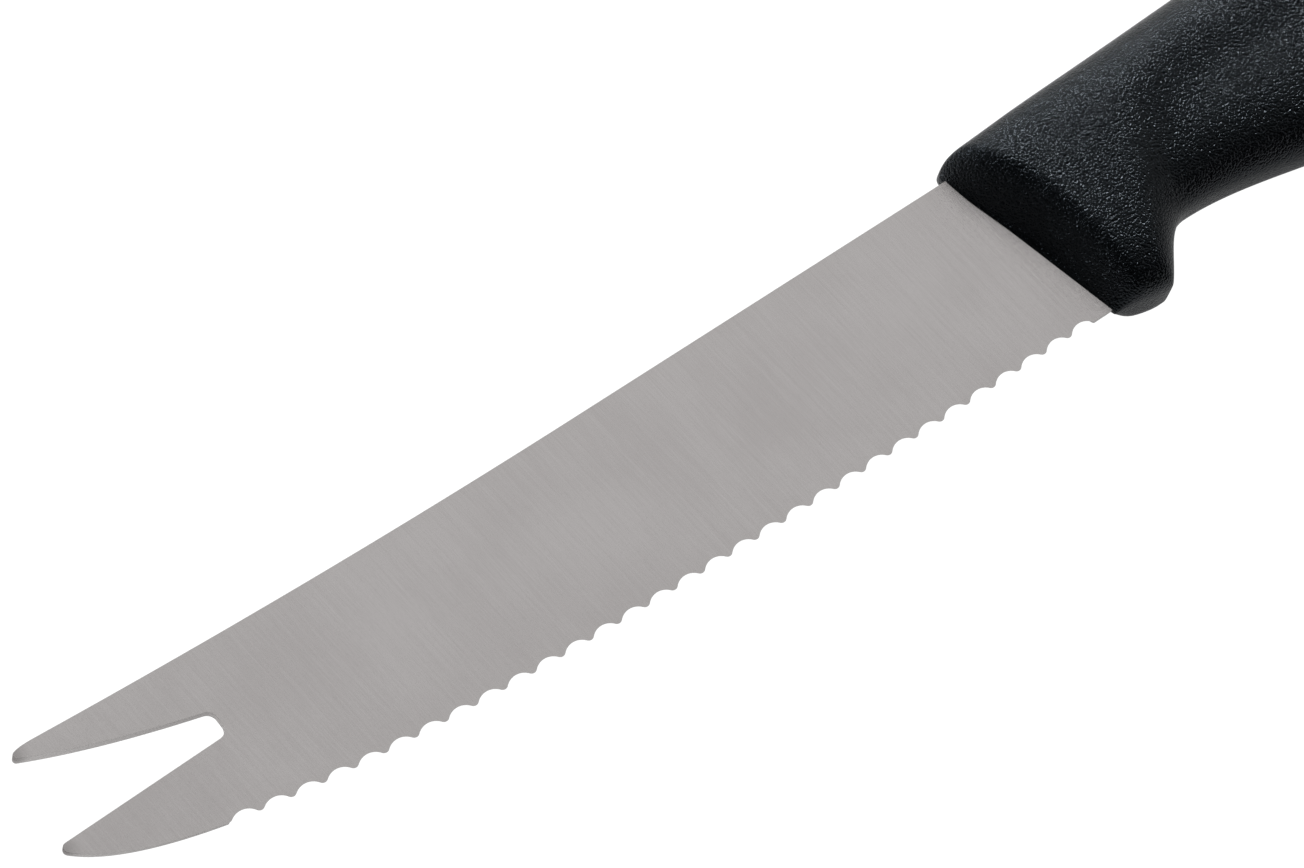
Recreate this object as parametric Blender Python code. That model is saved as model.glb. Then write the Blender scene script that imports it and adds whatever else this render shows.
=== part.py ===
"""Cheese and sausage knife: a forked, wave-edged blade in a handle moulded round its tang.

X runs along the knife from the fork (-X) to the butt (+X). Y runs across the blade from the
cutting edge (-Y) to the spine (+Y). Z runs through its thickness, and +Z is the side whose
face is left plain: the wave edge is ground from the other side.

Everything is drawn from the point where the spine enters the handle, halfway through the
blade. The knife empty then lays the drawing down with the handle's side on the ground.
"""

import math

import bmesh
import bpy
from mathutils import Vector

MM = 0.001
ROUNDING = 1e-6
STEEL_CREASE = math.radians(15)
PLASTIC_CREASE = math.radians(35)

# Plain materials
STEEL_COLOUR = (0.40, 0.39, 0.385)
STEEL_ROUGHNESS = 0.32
STEEL_METALLIC = 1.0
PLASTIC_COLOUR = (0.012, 0.013, 0.015)
PLASTIC_ROUGHNESS = 0.55
PLASTIC_METALLIC = 0.0

# Blade, as seen from its side
BLADE_LENGTH = 110 * MM
BLADE_HEIGHT = 19.75 * MM
SPINE_SWEEP_LENGTH = 64 * MM
SPINE_SWEEP_RADIUS = 980 * MM
JOINT_SETBACK = 5.1 * MM

# Fork at the tip
UPPER_TIP_SETBACK = 1.35 * MM
UPPER_TIP_RADIUS = 0.37 * MM
UPPER_TIP_DEPTH = 0.62 * MM
UPPER_TIP_TURN = math.radians(22)
UPPER_SHOULDER_LENGTH = 2.6 * MM
LOWER_TIP_RADIUS = 0.53 * MM
SLOT_DEPTH = 18.85 * MM
SLOT_FLOOR = 7.55 * MM
SLOT_ROOT_HEIGHT = 2.63 * MM
SLOT_ROOT_RADIUS = 1.05 * MM
SLOT_TIP_DROP = 0.35 * MM
UPPER_FLANK_TIP_ANGLE = math.radians(24.7)
UPPER_FLANK_ROOT_ANGLE = math.radians(15.2)

# Line that the tooth tips and the belly of the lower prong follow
BELLY_TIP_ANGLE = math.radians(43.8)
BELLY_TIP_REACH = 16 * MM
BELLY_HEEL_REACH = 44.4 * MM

# Wave edge
TOOTH_PITCH = 3.21 * MM
WAVE_DEPTH = 0.69 * MM
WAVE_RADIUS = 1.685 * MM
FIRST_TOOTH = 14.96 * MM
LAST_TOOTH_CLEARANCE = 1.2 * MM
GRIND_WIDTH = 1.5 * MM
GRIND_RUN_IN = 0.9 * MM

# Blade, through its thickness
STOCK_THICKNESS = 1.5 * MM
EDGE_THICKNESS = 0.5 * MM
DISTAL_TAPER = 0.3 * MM
GRIND_END = 2.0 * MM
GRIND_RUN_OUT = 1.5 * MM

# Heel and tang, hidden in the handle
SPINE_HEEL_INSET = 7 * MM
EDGE_HEEL_INSET = 5.5 * MM
SPINE_HEEL_RADIUS = 0.8 * MM
EDGE_HEEL_RADIUS = 1.4 * MM
TANG_LENGTH = 70 * MM
TANG_DROP = 2.9 * MM
TANG_HEIGHT = 10 * MM
TANG_END_HEIGHT = 8.5 * MM
TANG_END_RADIUS = 3 * MM
TANG_HOLE_RADIUS = 2.5 * MM
TANG_HOLE_PLACES = (28 * MM, 54 * MM)
TANG_CLEARANCE = 0.3 * MM
POCKET_OVERRUN = 6 * MM
PEG_ROOT = 1 * MM

# Handle, as seen from its side: places are measured from the joint, rises from the spine
HANDLE_LENGTH = 108 * MM
HANDLE_THICKNESS = 13 * MM
HANDLE_CROWN = 0.12 * MM
MOUTH_LIP = 0.45 * MM
MOUTH_THICKNESS = 4.2 * MM
NOSE_TOP_LENGTH = 1.4 * MM
NOSE_SPINE_LENGTH = 2.2 * MM
NOSE_MIDDLE_LENGTH = 7.0 * MM
NOSE_EDGE_LENGTH = 4.0 * MM
SHOULDER_RISE = 1.46 * MM
GROOVE_RISE = 2.45 * MM
BACK_RISE = 3.5 * MM
WAIST_RISE = 2.9 * MM
BUTT_RISE = 0.2 * MM
GUARD_LENGTH = 7.4 * MM
GUARD_DROP = 1.78 * MM
GUARD_PLACE = 8.3 * MM
GROOVE_PLACE = 18.4 * MM
GROOVE_DEPTH = 15.85 * MM
BELLY_DEPTH = 19.9 * MM
WAIST_DEPTH = 17.8 * MM
BUTT_DEPTH = 20.9 * MM
BUTT_LENGTH = 10 * MM
BUTT_FLAT = 0.18

# Shares of the grip's length, from the finger groove to the butt
BELLY_SHARE = 0.30
FULLEST_SHARE = 0.48
WAIST_SHARE = 0.68
BUTT_SHARE = 0.92

# Thickness of the handle's sections, as shares of the fullest one's
NOSE_FULLNESS = 0.93
GROOVE_FULLNESS = 0.985
WAIST_FULLNESS = 0.98
BUTT_FULLNESS = 0.86

# Thinning of the handle's sections towards their underside, as shares of their thickness
GUARD_THINNING = 0.31
GROOVE_THINNING = 0.16

# Squareness of the handle's sections: 2 is an ellipse, more is boxier
GUARD_SQUARENESS = 4.0
GROOVE_SQUARENESS = 3.0
GRIP_SQUARENESS = 2.45
BUTT_SQUARENESS = 2.6

# Grip panel, let into the handle's sides behind a raised shoulder
PANEL_STEP = 1.05 * MM
PANEL_FRONT = 12.8 * MM
PANEL_FRONT_LEAN = 0.40
PANEL_TOP = -3.4 * MM
PANEL_CORNER = 6.0 * MM
PANEL_EDGE_WIDTH = 4.8 * MM
PANEL_TOP_SHARE = 0.7
PANEL_FADE_START = 34 * MM
PANEL_FADE_LENGTH = 20 * MM

# Facets
ARC_STEPS = 8
TOOTH_TIP_STEPS = 2
LINE_STEPS = 400
SWEEP_STEPS = 14
CURVE_STEPS = 12
HOLE_SIDES = 32
NOSE_RINGS = 9
BUTT_RINGS = 8
RING_SPACING = 1.9 * MM
RING_POINTS = 44


def clear_scene():
    """Start from an empty file."""
    for thing in list(bpy.data.objects):
        bpy.data.objects.remove(thing, do_unlink=True)


def make_material(name, colour, roughness, metallic):
    """Give a Principled material its plain values."""
    material = bpy.data.materials.new(name)
    material.use_nodes = True
    shader = material.node_tree.nodes["Principled BSDF"]
    shader.inputs["Base Color"].default_value = (*colour, 1.0)
    shader.inputs["Roughness"].default_value = roughness
    shader.inputs["Metallic"].default_value = metallic
    return material


def add_object(name, bm, parent, crease, material=None):
    """Turn a bmesh into an object under its parent, smooth where it turns less than a crease."""
    bmesh.ops.recalc_face_normals(bm, faces=bm.faces[:])
    mesh = bpy.data.meshes.new(name)
    bm.to_mesh(mesh)
    bm.free()
    mesh.shade_smooth()
    mesh.set_sharp_from_angle(angle=crease)
    thing = bpy.data.objects.new(name, mesh)
    thing.parent = parent
    bpy.context.scene.collection.objects.link(thing)
    if material:
        mesh.materials.append(material)
    return thing


def smooth_step(value):
    """Ease from 0 to 1 as the value goes from 0 to 1."""
    value = min(max(value, 0.0), 1.0)
    return value * value * (3 - 2 * value)


def bezier(points, steps):
    """Points along a Bezier curve of any degree, without its first one."""
    run = []
    for step in range(1, steps + 1):
        share = step / steps
        level = list(points)
        while len(level) > 1:
            level = [a.lerp(b, share) for a, b in zip(level, level[1:])]
        run.append(level[0])
    return run


def arc(centre, radius, start, end, steps):
    """Points along an arc, both ends included."""
    turns = (start + (end - start) * step / steps for step in range(steps + 1))
    return [centre + radius * Vector((math.cos(turn), math.sin(turn))) for turn in turns]


def fillet(before, corner, after, radius, steps=ARC_STEPS):
    """Round a corner with an arc that touches both of its sides."""
    to_before = (before - corner).normalized()
    to_after = (after - corner).normalized()
    half = to_before.angle(to_after) / 2
    centre = corner + (to_before + to_after).normalized() * (radius / math.sin(half))
    first = corner + to_before * (radius / math.tan(half)) - centre
    last = corner + to_after * (radius / math.tan(half)) - centre
    turn = first.angle_signed(last)
    start = math.atan2(first.y, first.x)
    return arc(centre, radius, start, start - turn, steps)


def heading(angle):
    """Unit vector at an angle from +X."""
    return Vector((math.cos(angle), math.sin(angle)))


def crossing(start, direction, other_start, other_direction):
    """Point where two straight lines meet."""
    share = (other_start - start).cross(other_direction) / direction.cross(other_direction)
    return start + direction * share


def spine_height(x):
    """Height of the spine: straight from the handle, then swept up along a wide arc."""
    into_sweep = max(0.0, -x - (BLADE_LENGTH - SPINE_SWEEP_LENGTH))
    return SPINE_SWEEP_RADIUS - math.sqrt(SPINE_SWEEP_RADIUS**2 - into_sweep**2)


def joint_line(y, behind=0.0):
    """Point at a height on the slanted line of the joint, or on a line behind it."""
    return Vector((behind - y / BLADE_HEIGHT * JOINT_SETBACK, y))


def half_thickness(point):
    """Half the steel's thickness: the blade is ground thin, the tang is left as rolled."""
    stock = STOCK_THICKNESS / 2
    if point.x > joint_line(point.y, GRIND_END).x + ROUNDING:
        return stock
    per_height = (STOCK_THICKNESS - EDGE_THICKNESS) / 2 / BLADE_HEIGHT
    per_length = DISTAL_TAPER / 2 / BLADE_LENGTH
    return stock + point.y * per_height + (point.x - GRIND_END) * per_length


def spine_run():
    """Spine from the end of the grind to the shoulder where the upper prong's tip starts."""
    run = [joint_line(0.0, GRIND_END)]
    start = SPINE_SWEEP_LENGTH - BLADE_LENGTH
    shoulder = UPPER_TIP_SETBACK + UPPER_SHOULDER_LENGTH - BLADE_LENGTH
    for step in range(SWEEP_STEPS + 1):
        x = start + (shoulder - start) * step / SWEEP_STEPS
        run.append(Vector((x, spine_height(x))))
    return run


def upper_tip(shoulder):
    """Upper prong's tip: a shallow curve down from the shoulder, then a small round."""
    x = UPPER_TIP_SETBACK + UPPER_TIP_RADIUS - BLADE_LENGTH
    centre = Vector((x, spine_height(x) - UPPER_TIP_DEPTH))
    start = math.pi / 2 + UPPER_TIP_TURN
    end = 1.5 * math.pi - UPPER_FLANK_TIP_ANGLE
    tip = arc(centre, UPPER_TIP_RADIUS, start, end, ARC_STEPS)
    lean = math.asin((SPINE_SWEEP_LENGTH - BLADE_LENGTH - shoulder.x) / SPINE_SWEEP_RADIUS)
    bend = crossing(shoulder, heading(-lean), tip[0], heading(UPPER_TIP_TURN))
    return bezier([shoulder, bend, tip[0]], ARC_STEPS) + tip[1:]


def fork_run(shoulder):
    """Upper prong's tip, the slot between the prongs, and the lower prong's tip."""
    run = upper_tip(shoulder)
    root_x = SLOT_DEPTH - BLADE_LENGTH
    upper_corner = Vector((root_x, SLOT_ROOT_HEIGHT - SLOT_FLOOR))
    lower_corner = Vector((root_x, -SLOT_FLOOR))
    flank_lean = math.atan2(SLOT_TIP_DROP, SLOT_DEPTH)
    low_x = LOWER_TIP_RADIUS - BLADE_LENGTH
    low_centre = Vector((low_x, -SLOT_FLOOR - SLOT_TIP_DROP - LOWER_TIP_RADIUS))
    low_tip = arc(
        low_centre,
        LOWER_TIP_RADIUS,
        math.pi / 2 + flank_lean,
        1.5 * math.pi - BELLY_TIP_ANGLE,
        ARC_STEPS,
    )
    flank_start = run[-1]
    towards_root = heading(-UPPER_FLANK_TIP_ANGLE)
    from_root = heading(math.pi - UPPER_FLANK_ROOT_ANGLE)
    bend = crossing(flank_start, towards_root, upper_corner, from_root)
    upper_root = fillet(bend, upper_corner, lower_corner, SLOT_ROOT_RADIUS)
    run += bezier([flank_start, bend, upper_root[0]], CURVE_STEPS)
    run += upper_root[1:]
    run += fillet(upper_corner, lower_corner, low_tip[0], SLOT_ROOT_RADIUS)
    return run + low_tip


def cutting_line(tip):
    """Line of the tooth tips, from the lower prong's tip to the handle."""
    heel = joint_line(-BLADE_HEIGHT)
    from_tip = tip + BELLY_TIP_REACH * heading(-BELLY_TIP_ANGLE)
    from_heel = heel - Vector((BELLY_HEEL_REACH, 0.0))
    return [tip] + bezier([tip, from_tip, from_heel, heel], LINE_STEPS)


def walk(line, distance):
    """Place and direction at a distance along a line of points."""
    for a, b in zip(line, line[1:]):
        length = (b - a).length
        if distance <= length:
            break
        distance -= length
    direction = (b - a).normalized()
    return a + direction * distance, direction


def wave_profile():
    """One wave of the edge, as distances along and in: a hollow between two tooth tips."""
    reach = (WAVE_DEPTH**2 + TOOTH_PITCH**2 / 4) / (2 * WAVE_DEPTH)
    tip_radius = reach - WAVE_RADIUS
    swing = math.asin(TOOTH_PITCH / 2 / reach)
    up = math.pi / 2
    hollow_centre = Vector((TOOTH_PITCH / 2, WAVE_DEPTH - WAVE_RADIUS))
    tip_centre = Vector((TOOTH_PITCH, tip_radius))
    hollow = arc(hollow_centre, WAVE_RADIUS, up + swing, up - swing, ARC_STEPS)
    last_half = arc(tip_centre, tip_radius, -up - swing, -up, TOOTH_TIP_STEPS)
    first_half = [Vector((TOOTH_PITCH - point.x, point.y)) for point in reversed(last_half)]
    return first_half[1:] + hollow[1:] + last_half[1:]


def edge_runs(tip):
    """Belly and wave edge, on the plain side and where the grind meets the other side."""
    line = cutting_line(tip)
    length = sum((b - a).length for a, b in zip(line, line[1:]))
    teeth = int((length - FIRST_TOOTH - LAST_TOOTH_CLEARANCE) // TOOTH_PITCH)
    wave_length = teeth * TOOTH_PITCH
    plain = [walk(line, FIRST_TOOTH * step / CURVE_STEPS)[0] for step in range(1, CURVE_STEPS + 1)]
    ground = list(plain)
    profile = wave_profile()
    for tooth in range(teeth):
        for point in profile:
            along = tooth * TOOTH_PITCH + point.x
            place, direction = walk(line, FIRST_TOOTH + along)
            inward = Vector((-direction.y, direction.x))
            grind = GRIND_WIDTH * smooth_step(min(along, wave_length - along) / GRIND_RUN_IN)
            plain.append(place + inward * point.y)
            ground.append(place + inward * (point.y + grind))
    return plain, ground


def tang_run(grow=0.0):
    """Heel and tang, from the end of the grind's run-out at the edge back to the spine."""
    edge = -BLADE_HEIGHT - grow
    edge_heel = JOINT_SETBACK + EDGE_HEEL_INSET + grow
    spine_heel = SPINE_HEEL_INSET + grow
    tang_end = TANG_LENGTH + grow
    tang_top = grow - TANG_DROP
    tang_bottom = -TANG_DROP - TANG_HEIGHT - grow
    end_taper = (TANG_HEIGHT - TANG_END_HEIGHT) / 2
    corners = [
        (joint_line(edge, GRIND_END + GRIND_RUN_OUT), 0.0),
        (Vector((edge_heel, edge)), EDGE_HEEL_RADIUS + grow),
        (Vector((edge_heel, tang_bottom)), EDGE_HEEL_RADIUS - grow),
        (Vector((tang_end, tang_bottom + end_taper)), TANG_END_RADIUS + grow),
        (Vector((tang_end, tang_top - end_taper)), TANG_END_RADIUS + grow),
        (Vector((spine_heel, tang_top)), SPINE_HEEL_RADIUS - grow),
        (Vector((spine_heel, grow)), SPINE_HEEL_RADIUS + grow),
        (joint_line(grow, GRIND_END), 0.0),
    ]
    run = [corners[0][0]]
    for (before, _), (corner, radius), (after, _) in zip(corners, corners[1:], corners[2:]):
        run += fillet(before, corner, after, radius)
    return run


def plate(plain, ground, tang, grow=0.0):
    """Close a steel plate between its plain side and its ground side.

    Each side has the blade's ground face, the stock's face at the tang, and between them
    the triangle where the grinding wheel runs out.
    """
    bm = bmesh.new()
    sides = []
    for outline, sign in ((plain + tang, 1), (ground + tang, -1)):
        heights = (sign * (half_thickness(point) + grow) for point in outline)
        sides.append([bm.verts.new((*point, z)) for point, z in zip(outline, heights)])
    for side in sides:
        blade, rest = side[: len(plain)], side[len(plain) :]
        bm.faces.new(blade)
        bm.faces.new((blade[0], blade[-1], rest[0]))
        bm.faces.new([blade[0]] + rest)
    top, bottom = sides
    for index, corner in enumerate(top):
        bm.faces.new((top[index - 1], corner, bottom[index], bottom[index - 1]))
    return bm


def cylinder(radius, depth, place):
    """Cylinder across the blade, centred on its middle."""
    bm = bmesh.new()
    bmesh.ops.create_cone(
        bm,
        cap_ends=True,
        segments=HOLE_SIDES,
        radius1=radius,
        radius2=radius,
        depth=depth,
    )
    bmesh.ops.translate(bm, verts=bm.verts[:], vec=(*place, 0.0))
    return bm


def hide_cutter(thing):
    """Keep a cutting tool out of the finished object."""
    thing.hide_render = True
    thing.display_type = "WIRE"


def add_boolean(thing, name, operation, tool):
    """Cut or join one tool."""
    modifier = thing.modifiers.new(name, "BOOLEAN")
    modifier.operation = operation
    modifier.solver = "EXACT"
    modifier.object = tool


def tang_holes():
    """Middles of the keying holes, on the tang's centre line."""
    return [Vector((x, -TANG_DROP - TANG_HEIGHT / 2)) for x in TANG_HOLE_PLACES]


def make_blade(parent):
    """Stamped and ground blade, with the keying holes in its tang."""
    steel = make_material("ground_steel", STEEL_COLOUR, STEEL_ROUGHNESS, STEEL_METALLIC)
    spine = spine_run()
    spine_and_fork = spine + fork_run(spine[-1])
    plain_edge, ground_edge = edge_runs(spine_and_fork[-1])
    grind_end = [joint_line(-BLADE_HEIGHT, GRIND_END)]
    plain = spine_and_fork + plain_edge + grind_end
    ground = spine_and_fork + ground_edge + grind_end
    blade = add_object("blade", plate(plain, ground, tang_run()), parent, STEEL_CREASE, steel)
    for index, place in enumerate(tang_holes(), start=1):
        punch = add_object(
            f"tang_punch_{index}",
            cylinder(TANG_HOLE_RADIUS, 2 * STOCK_THICKNESS, place),
            parent,
            STEEL_CREASE,
        )
        hide_cutter(punch)
        add_boolean(blade, f"keying_hole_{index}", "DIFFERENCE", punch)
    return blade


def follow(stations, place):
    """Value at a place on a smooth curve through stations of (place, value)."""
    places = [station[0] for station in stations]
    values = [station[1] for station in stations]
    last = len(stations) - 1
    if place <= places[0]:
        return values[0]
    if place >= places[last]:
        return values[last]
    span = max(index for index in range(last) if places[index] <= place)
    slopes = [(values[i + 1] - values[i]) / (places[i + 1] - places[i]) for i in range(last)]
    slopes = [slopes[0], *slopes, slopes[-1]]

    def tangent(index):
        """Slope at a station: level where the curve turns back, between its sides elsewhere."""
        before, after = slopes[index], slopes[index + 1]
        if before * after <= 0:
            return 0.0
        return 2 * before * after / (before + after)

    width = places[span + 1] - places[span]
    share = (place - places[span]) / width
    start, end = values[span], values[span + 1]
    start_pull = share * (1 - share) ** 2 * width * tangent(span)
    end_pull = share**2 * (1 - share) * width * tangent(span + 1)
    return start + (end - start) * smooth_step(share) + start_pull - end_pull


def grip_place(share):
    """Place along the grip, from the finger groove to the butt."""
    return GROOVE_PLACE + share * (HANDLE_LENGTH - GROOVE_PLACE)


def round_out(place, length):
    """Quarter round from 0 at the joint to 1 at the round's length."""
    left = max(0.0, 1 - place / length)
    return math.sqrt(1 - left * left)


def ramp_out(place, length):
    """Softer start than a quarter round: a slope that levels off at the ramp's length."""
    return math.sin(math.pi / 2 * min(1.0, place / length))


def handle_section(place):
    """Section of the handle: its top and bottom points, half its thickness, thinning, squareness."""
    belly = grip_place(BELLY_SHARE)
    waist = grip_place(WAIST_SHARE)
    butt = grip_place(BUTT_SHARE)
    guard = -BLADE_HEIGHT - GUARD_DROP
    back = [
        (0.0, SHOULDER_RISE),
        (GROOVE_PLACE, GROOVE_RISE),
        (belly, BACK_RISE),
        (waist, WAIST_RISE),
        (butt, BUTT_RISE),
        (HANDLE_LENGTH, -BUTT_LENGTH / 2),
    ]
    underside = [
        (GUARD_PLACE, guard),
        (GROOVE_PLACE, -GROOVE_DEPTH),
        (belly, -BELLY_DEPTH),
        (waist, -WAIST_DEPTH),
        (butt, -BUTT_DEPTH),
        (HANDLE_LENGTH, -BUTT_DEPTH),
    ]
    thickness = [
        (0.0, NOSE_FULLNESS),
        (GROOVE_PLACE, GROOVE_FULLNESS),
        (grip_place(FULLEST_SHARE), 1.0),
        (waist, WAIST_FULLNESS),
        (HANDLE_LENGTH, BUTT_FULLNESS),
    ]
    thinning = [
        (GUARD_PLACE, GUARD_THINNING),
        (GROOVE_PLACE, GROOVE_THINNING),
        (belly, 0.0),
    ]
    squareness = [
        (GUARD_PLACE, GUARD_SQUARENESS),
        (GROOVE_PLACE, GROOVE_SQUARENESS),
        (belly, GRIP_SQUARENESS),
        (HANDLE_LENGTH, BUTT_SQUARENESS),
    ]
    into_butt = max(0.0, (place - HANDLE_LENGTH) / BUTT_LENGTH + 1)
    closing = math.sqrt(1 - (1 - BUTT_FLAT**2) * into_butt**2)
    lean = JOINT_SETBACK * (1 - smooth_step(place / GROOVE_PLACE))
    rise = MOUTH_LIP + (follow(back, place) - MOUTH_LIP) * round_out(place, NOSE_TOP_LENGTH)
    lip = -BLADE_HEIGHT - MOUTH_LIP
    drop = lip + (follow(underside, place) - lip) * ramp_out(place, GUARD_LENGTH)
    top = Vector((place, rise))
    bottom = Vector((place + lean, drop))
    half = (HANDLE_THICKNESS / 2 + HANDLE_CROWN) * follow(thickness, place)
    middle = (top + bottom) / 2
    return (
        middle + (top - middle) * math.sqrt(closing),
        middle + (bottom - middle) * math.sqrt(closing),
        half * closing,
        follow(thinning, place),
        follow(squareness, place),
    )


def nose_half(place, half, depth):
    """Half the thickness in the nose, which rounds to the blade, most gently halfway down."""
    mouth = MOUTH_THICKNESS / 2
    sides = NOSE_SPINE_LENGTH + (NOSE_EDGE_LENGTH - NOSE_SPINE_LENGTH) * depth
    middle = NOSE_MIDDLE_LENGTH - (NOSE_SPINE_LENGTH + NOSE_EDGE_LENGTH) / 2
    length = sides + middle * 4 * depth * (1 - depth)
    return mouth + (half - mouth) * round_out(place, length)


def panel_share(point):
    """How far a point is inside the grip panel: 0 on the shoulder, 1 on the panel's floor."""
    slope = math.hypot(1.0, PANEL_FRONT_LEAN)
    from_front = (point.x - PANEL_FRONT - PANEL_FRONT_LEAN * (point.y + BLADE_HEIGHT)) / slope
    from_top = (PANEL_TOP - point.y) * PANEL_TOP_SHARE
    overlap = max(PANEL_CORNER - abs(from_front - from_top), 0.0) / PANEL_CORNER
    inside = min(from_front, from_top) - overlap * overlap * PANEL_CORNER / 4
    fade = 1 - smooth_step((point.x - PANEL_FADE_START) / PANEL_FADE_LENGTH)
    return smooth_step(0.5 + inside / PANEL_EDGE_WIDTH) * fade


def handle_ring(place):
    """Points round one section of the handle."""
    top, bottom, full, thinning, squareness = handle_section(place)
    middle = (top + bottom) / 2
    ring = []
    for index in range(RING_POINTS):
        turn = math.tau * index / RING_POINTS
        across, out = math.cos(turn), math.sin(turn)
        across = math.copysign(abs(across) ** (2 / squareness), across)
        out = math.copysign(abs(out) ** (2 / squareness), out)
        point = middle + (top - middle) * across
        depth = (1 - across) / 2
        half = nose_half(place, full * (1 - thinning * depth**2), depth)
        height = half * out * (1 - PANEL_STEP / half * panel_share(point))
        height = min(max(height, -HANDLE_THICKNESS / 2), HANDLE_THICKNESS / 2)
        ring.append((*point, height))
    return ring


def ring_places():
    """Places of the handle's sections, closer together where it rounds over."""
    quarter = math.pi / 2
    butt_start = HANDLE_LENGTH - BUTT_LENGTH
    nose_end = NOSE_MIDDLE_LENGTH
    middle_rings = round((butt_start - nose_end) / RING_SPACING)
    spacing = (butt_start - nose_end) / middle_rings
    places = [nose_end * (1 - math.cos(quarter * i / NOSE_RINGS)) for i in range(NOSE_RINGS)]
    places += [nose_end + spacing * i for i in range(middle_rings)]
    turns = (quarter * i / BUTT_RINGS for i in range(BUTT_RINGS + 1))
    places += [butt_start + BUTT_LENGTH * math.sin(turn) for turn in turns]
    return places


def loft(rings):
    """Closed skin over a row of rings."""
    bm = bmesh.new()
    rows = [[bm.verts.new(point) for point in ring] for ring in rings]
    for row, after in zip(rows, rows[1:]):
        for index in range(len(row)):
            bm.faces.new((row[index - 1], row[index], after[index], after[index - 1]))
    bm.faces.new(rows[0])
    bm.faces.new(rows[-1])
    return bm


def make_handle(parent):
    """Moulded handle: a loft, a pocket that fits the tang, and pegs through its holes."""
    plastic = make_material(
        "black_plastic", PLASTIC_COLOUR, PLASTIC_ROUGHNESS, PLASTIC_METALLIC
    )
    rings = [handle_ring(place) for place in ring_places()]
    handle = add_object("handle", loft(rings), parent, PLASTIC_CREASE, plastic)
    gap = TANG_CLEARANCE
    mouth = [
        joint_line(gap, GRIND_END),
        Vector((-POCKET_OVERRUN, gap)),
        Vector((-POCKET_OVERRUN, -BLADE_HEIGHT - gap)),
        joint_line(-BLADE_HEIGHT - gap, GRIND_END),
    ]
    space = plate(mouth, mouth, tang_run(gap), gap)
    pocket = add_object("tang_pocket", space, parent, PLASTIC_CREASE)
    hide_cutter(pocket)
    add_boolean(handle, "tang_pocket", "DIFFERENCE", pocket)
    peg_length = STOCK_THICKNESS + 2 * gap + 2 * PEG_ROOT
    for index, place in enumerate(tang_holes(), start=1):
        peg = add_object(
            f"peg_{index}",
            cylinder(TANG_HOLE_RADIUS - gap, peg_length, place),
            parent,
            PLASTIC_CREASE,
        )
        hide_cutter(peg)
        add_boolean(handle, f"peg_{index}", "UNION", peg)
    return handle


def main():
    """Build the two pieces and lay the knife down on the side of its handle."""
    clear_scene()
    knife = bpy.data.objects.new("knife", None)
    bpy.context.scene.collection.objects.link(knife)
    knife.location = (
        (BLADE_LENGTH - HANDLE_LENGTH) / 2,
        (BLADE_HEIGHT + GUARD_DROP - BACK_RISE) / 2,
        HANDLE_THICKNESS / 2,
    )
    make_blade(knife)
    make_handle(knife)


main()
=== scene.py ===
"""Cheese and sausage knife: its finishes and fine shapes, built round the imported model.

Lengths are in metres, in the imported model's frame: X runs from the fork (-X) to the butt (+X),
Y from the cutting edge (-Y) to the spine (+Y), and Z up out of the blade's plain face. The
blade and the handle are both drawn from the corner where the spine enters the handle, halfway
through the steel.
"""

from __future__ import annotations

import logging
import math
from dataclasses import dataclass, field
from enum import Enum
from typing import Any, Sequence, Union

import bmesh
import bpy
from mathutils import Matrix, Vector


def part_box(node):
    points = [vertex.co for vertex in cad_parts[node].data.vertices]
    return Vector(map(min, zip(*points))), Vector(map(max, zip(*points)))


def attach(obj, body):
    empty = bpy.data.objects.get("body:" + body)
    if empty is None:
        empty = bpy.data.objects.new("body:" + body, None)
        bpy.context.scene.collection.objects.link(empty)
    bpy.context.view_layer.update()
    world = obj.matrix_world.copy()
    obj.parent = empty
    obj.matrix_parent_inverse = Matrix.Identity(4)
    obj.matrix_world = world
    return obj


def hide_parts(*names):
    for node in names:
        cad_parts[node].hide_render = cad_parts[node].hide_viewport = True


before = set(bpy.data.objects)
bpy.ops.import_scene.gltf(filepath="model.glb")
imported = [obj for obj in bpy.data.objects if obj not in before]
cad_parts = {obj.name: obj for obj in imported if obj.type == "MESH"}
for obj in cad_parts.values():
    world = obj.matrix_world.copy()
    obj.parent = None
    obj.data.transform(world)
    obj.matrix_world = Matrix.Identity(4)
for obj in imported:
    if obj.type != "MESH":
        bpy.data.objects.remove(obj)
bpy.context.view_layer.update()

LOG = logging.getLogger("knife")
MM = 0.001
MERGE_DISTANCE = 0.001 * MM
BODY = "root"


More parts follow.
